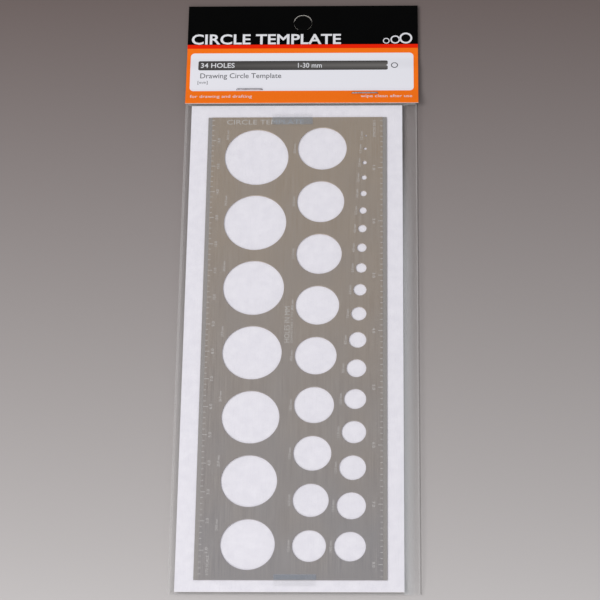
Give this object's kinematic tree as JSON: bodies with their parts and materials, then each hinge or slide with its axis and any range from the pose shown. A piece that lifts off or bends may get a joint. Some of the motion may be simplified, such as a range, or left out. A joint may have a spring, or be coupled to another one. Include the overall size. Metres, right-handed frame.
{
  "type": "circle drawing template in a hanging sales pack",
  "caption": "Flat etched metal circle template taped to a white card in a clear film sleeve, closed by a folded, stapled header card with a knock-out hang hole.",
  "frame": {"origin": "centre of the underside of the whole pack, lying on its back", "axes": "+X to the right across the template, +Y along the template towards the header card, +Z out of the front face"},
  "size_m": [0.1108, 0.3052, 0.0041],
  "materials": {
    "etched_plate": "satin, photo-etched",
    "white_card": "matt, smooth white",
    "clear_tape": "clear, slightly bluish",
    "clear_film": "clear, glossy",
    "header_card": "matt, uncoated back",
    "header_print": "coated, printed orange, red, black and white",
    "header_black": "coated, printed black",
    "staple_wire": "zinc plated"
  },
  "bodies": {
    "pouch": {"sleeve_back_film": "clear_film", "sleeve_front_film": "clear_film", "sleeve_weld_left": "clear_film", "sleeve_weld_right": "clear_film", "sleeve_bottom_fold": "clear_film", "header_front_panel": "header_print", "header_back_panel": "header_card", "header_fold": "header_print", "staple_left": "staple_wire", "staple_right": "staple_wire"},
    "insert": {"template_plate": "etched_plate", "backing_card": "white_card", "tape_top": "clear_tape", "tape_bottom": "clear_tape"},
    "front_tab": {"hang_tab_front": "header_black"},
    "back_tab": {"hang_tab_back": "header_card"}
  },
  "joints": [
    {"name": "insert_slide", "type": "slide", "parent": "pouch", "child": "insert", "axis": [0, 1, 0], "range_m": [0, 0.005]},
    {"name": "front_tab_fold", "type": "hinge", "parent": "pouch", "child": "front_tab", "pos_m": [0, 0.13878, 0.00155], "axis": [1, 0, 0], "range_deg": [0, 65]},
    {"name": "back_tab_fold", "type": "hinge", "parent": "pouch", "child": "back_tab", "pos_m": [0, 0.13913, 0.00095], "axis": [1, 0, 0], "range_deg": [0, 65]}
  ],
  "couplings": [
    {"joint": "back_tab_fold", "follows": "front_tab_fold", "ratio": 1}
  ]
}
